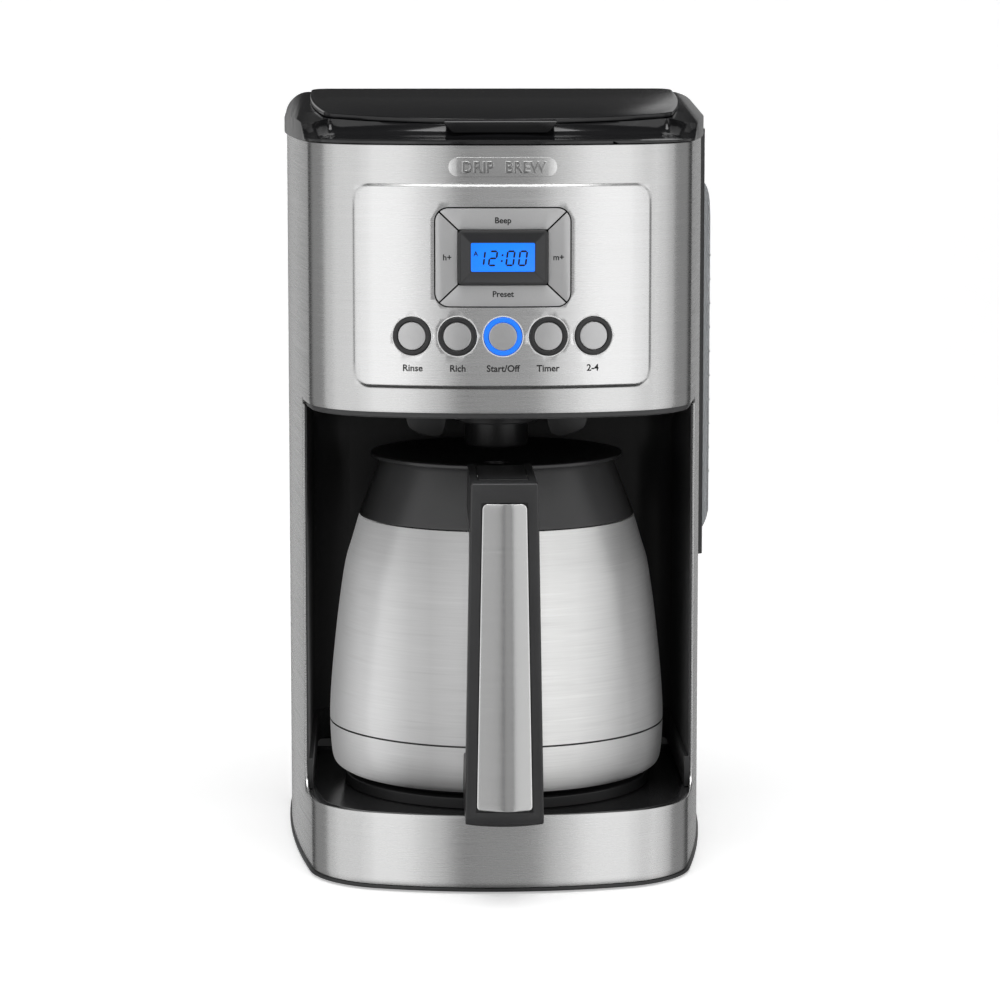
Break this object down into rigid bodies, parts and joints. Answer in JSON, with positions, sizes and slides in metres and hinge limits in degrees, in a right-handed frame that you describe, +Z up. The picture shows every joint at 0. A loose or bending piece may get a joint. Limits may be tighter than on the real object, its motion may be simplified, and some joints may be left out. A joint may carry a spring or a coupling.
{
  "type": "drip coffee maker",
  "caption": "Drip coffee maker: a brushed steel wrap over a black body, with a hinged lid, a button panel with a lit display, and a handled thermal carafe in its bay.",
  "frame": {"origin": "centre of the footprint at counter level, under the machine's plane of symmetry", "axes": "+Z up, the front panel and the carafe handle face -Y, +X is the side with the water window"},
  "size_m": [0.2097, 0.2573, 0.3566],
  "materials": {
    "brushed_steel": "horizontal brushed satin",
    "black_plastic": "moulded black, satin",
    "gloss_plastic": "polished black",
    "clear_plastic": "smoky clear moulded window",
    "tank_plastic": "smoke grey moulded",
    "gold_mesh": "gold-tone mesh",
    "silicone": "matte",
    "silicone_hose": "matte translucent",
    "spring_steel": "bright wire",
    "cast_aluminium": "as cast",
    "circuit_board": "solder-masked board",
    "blue_screen": "lit blue display",
    "blue_ring": "lit blue ring",
    "pin_steel": "ground",
    "rubber": "matte",
    "zinc": "zinc plated",
    "silver_key": "brushed silver"
  },
  "bodies": {
    "machine": {"badge": "brushed_steel", "base_plate": "black_plastic", "base_screw_1": "zinc", "base_screw_2": "zinc", "base_screw_3": "zinc", "base_screw_4": "zinc", "base_tray": "black_plastic", "bay_liner": "black_plastic", "boiler_tube": "cast_aluminium", "brew_housing": "black_plastic", "button_clean_ring": "black_plastic", "button_power_ring": "blue_ring", "button_small_batch_ring": "black_plastic", "button_strength_ring": "black_plastic", "button_timer_ring": "black_plastic", "carafe_platform": "black_plastic", "charcoal_filter_holder": "black_plastic", "cold_hose": "silicone_hose", "control_board": "circuit_board", "cord_gland": "black_plastic", "display_bezel": "gloss_plastic", "display_screen": "blue_screen", "drip_stop_gasket": "silicone", "drip_stop_spring": "spring_steel", "filter_basket": "black_plastic", "foot_1": "rubber", "foot_2": "rubber", "foot_3": "rubber", "foot_4": "rubber", "lid_hinge_pin_left": "pin_steel", "lid_hinge_pin_right": "pin_steel", "permanent_filter": "gold_mesh", "rear_cover": "black_plastic", "riser_tube": "silicone_hose", "steel_shroud": "brushed_steel", "top_deck": "gloss_plastic", "water_tank": "tank_plastic", "water_window": "clear_plastic"},
    "lid": {"lid": "gloss_plastic", "spray_head": "black_plastic"},
    "carafe": {"carafe_shell": "brushed_steel", "carafe_liner": "brushed_steel", "carafe_base_cap": "black_plastic", "carafe_collar": "black_plastic", "carafe_handle": "black_plastic", "handle_inlay": "brushed_steel", "lever_pin": "pin_steel"},
    "carafe_lid": {"carafe_lid": "black_plastic"},
    "pour_lever": {"pour_lever": "black_plastic"},
    "drip_stop": {"drip_stop_plunger": "black_plastic"},
    "key_top": {"key_top": "silver_key"},
    "key_bottom": {"key_bottom": "silver_key"},
    "key_left": {"key_left": "silver_key"},
    "key_right": {"key_right": "silver_key"},
    "button_clean": {"button_clean": "silver_key"},
    "button_strength": {"button_strength": "silver_key"},
    "button_power": {"button_power": "silver_key"},
    "button_timer": {"button_timer": "silver_key"},
    "button_small_batch": {"button_small_batch": "silver_key"}
  },
  "joints": [
    {"name": "lid_hinge", "type": "hinge", "parent": "machine", "child": "lid", "pos_m": [0, 0.1025, 0.3505], "axis": [-1, 0, 0], "range_deg": [0, 100]},
    {"name": "carafe_slide", "type": "slide", "parent": "machine", "child": "carafe", "axis": [0, -1, 0], "range_m": [0, 0.22]},
    {"name": "carafe_lid_turn", "type": "hinge", "parent": "carafe", "child": "carafe_lid", "pos_m": [0, 0.0065, 0.164], "axis": [0, 0, 1], "range_deg": [0, 60]},
    {"name": "pour_lever_tilt", "type": "hinge", "parent": "carafe", "child": "pour_lever", "pos_m": [0, -0.0845, 0.1873], "axis": [1, 0, 0], "range_deg": [0, 8], "stiffness_Nm_per_rad": 0.05, "springref_deg": -5.73},
    {"name": "drip_stop_lift", "type": "slide", "parent": "machine", "child": "drip_stop", "axis": [0, 0, 1], "range_m": [0, 0.003], "stiffness_N_per_m": 200, "springref_m": -0.002, "deforming": ["drip_stop_spring"]},
    {"name": "button_clean_press", "type": "slide", "parent": "machine", "child": "button_clean", "axis": [0.2113, 0.9774, 0], "range_m": [0, 0.001], "stiffness_N_per_m": 400, "springref_m": -0.0005},
    {"name": "button_strength_press", "type": "slide", "parent": "machine", "child": "button_strength", "axis": [0.1057, 0.9944, 0], "range_m": [0, 0.001], "stiffness_N_per_m": 400, "springref_m": -0.0005},
    {"name": "button_power_press", "type": "slide", "parent": "machine", "child": "button_power", "axis": [0, 1, 0], "range_m": [0, 0.001], "stiffness_N_per_m": 400, "springref_m": -0.0005},
    {"name": "button_timer_press", "type": "slide", "parent": "machine", "child": "button_timer", "axis": [-0.1057, 0.9944, 0], "range_m": [0, 0.001], "stiffness_N_per_m": 400, "springref_m": -0.0005},
    {"name": "button_small_batch_press", "type": "slide", "parent": "machine", "child": "button_small_batch", "axis": [-0.2113, 0.9774, 0], "range_m": [0, 0.001], "stiffness_N_per_m": 400, "springref_m": -0.0005},
    {"name": "key_top_press", "type": "slide", "parent": "machine", "child": "key_top", "axis": [0, 1, 0], "range_m": [0, 0.0008], "stiffness_N_per_m": 400, "springref_m": -0.0004},
    {"name": "key_bottom_press", "type": "slide", "parent": "machine", "child": "key_bottom", "axis": [0, 1, 0], "range_m": [0, 0.0008], "stiffness_N_per_m": 400, "springref_m": -0.0004},
    {"name": "key_left_press", "type": "slide", "parent": "machine", "child": "key_left", "axis": [0, 1, 0], "range_m": [0, 0.0008], "stiffness_N_per_m": 400, "springref_m": -0.0004},
    {"name": "key_right_press", "type": "slide", "parent": "machine", "child": "key_right", "axis": [0, 1, 0], "range_m": [0, 0.0008], "stiffness_N_per_m": 400, "springref_m": -0.0004}
  ]
}
